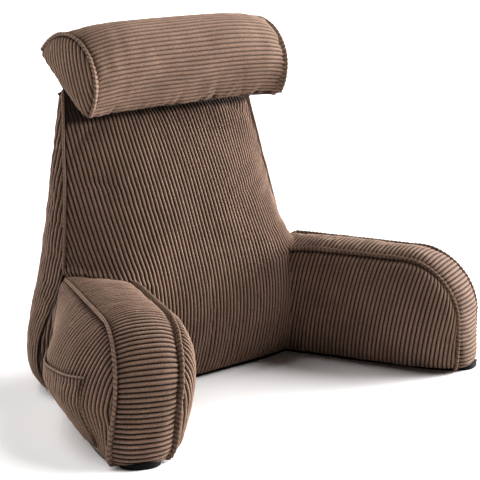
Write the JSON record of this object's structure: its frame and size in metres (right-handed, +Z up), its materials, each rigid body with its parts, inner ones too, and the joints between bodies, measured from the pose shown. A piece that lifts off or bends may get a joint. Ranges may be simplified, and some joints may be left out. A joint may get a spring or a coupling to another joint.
{
  "type": "reading pillow with arms",
  "caption": "Corduroy reading pillow: a wedge back with a half-round headrest, two splayed padded arms, raised seam flanges and a side pocket.",
  "frame": {"origin": "on the floor under the middle of the pillow's box", "axes": "+Z up; the open front, where a person leans, faces -Y; +X is to the right when looking at that front"},
  "size_m": [0.8033, 0.4625, 0.5806],
  "materials": {
    "corduroy": "wide-wale corduroy pile",
    "base_cloth": "plain woven cloth"
  },
  "bodies": {
    "root": {"back_cushion": "corduroy", "arm_left": "corduroy", "arm_right": "corduroy", "headrest": "corduroy", "pocket_left": "corduroy", "flange_back_left": "corduroy", "flange_back_right": "corduroy", "flange_headrest_left": "corduroy", "flange_headrest_right": "corduroy", "flange_inner_left": "corduroy", "flange_inner_right": "corduroy", "flange_outer_left": "corduroy", "flange_outer_right": "corduroy", "base_back": "base_cloth", "base_arm_left": "base_cloth", "base_arm_right": "base_cloth", "headrest_tape": "base_cloth"}
  },
  "joints": []
}
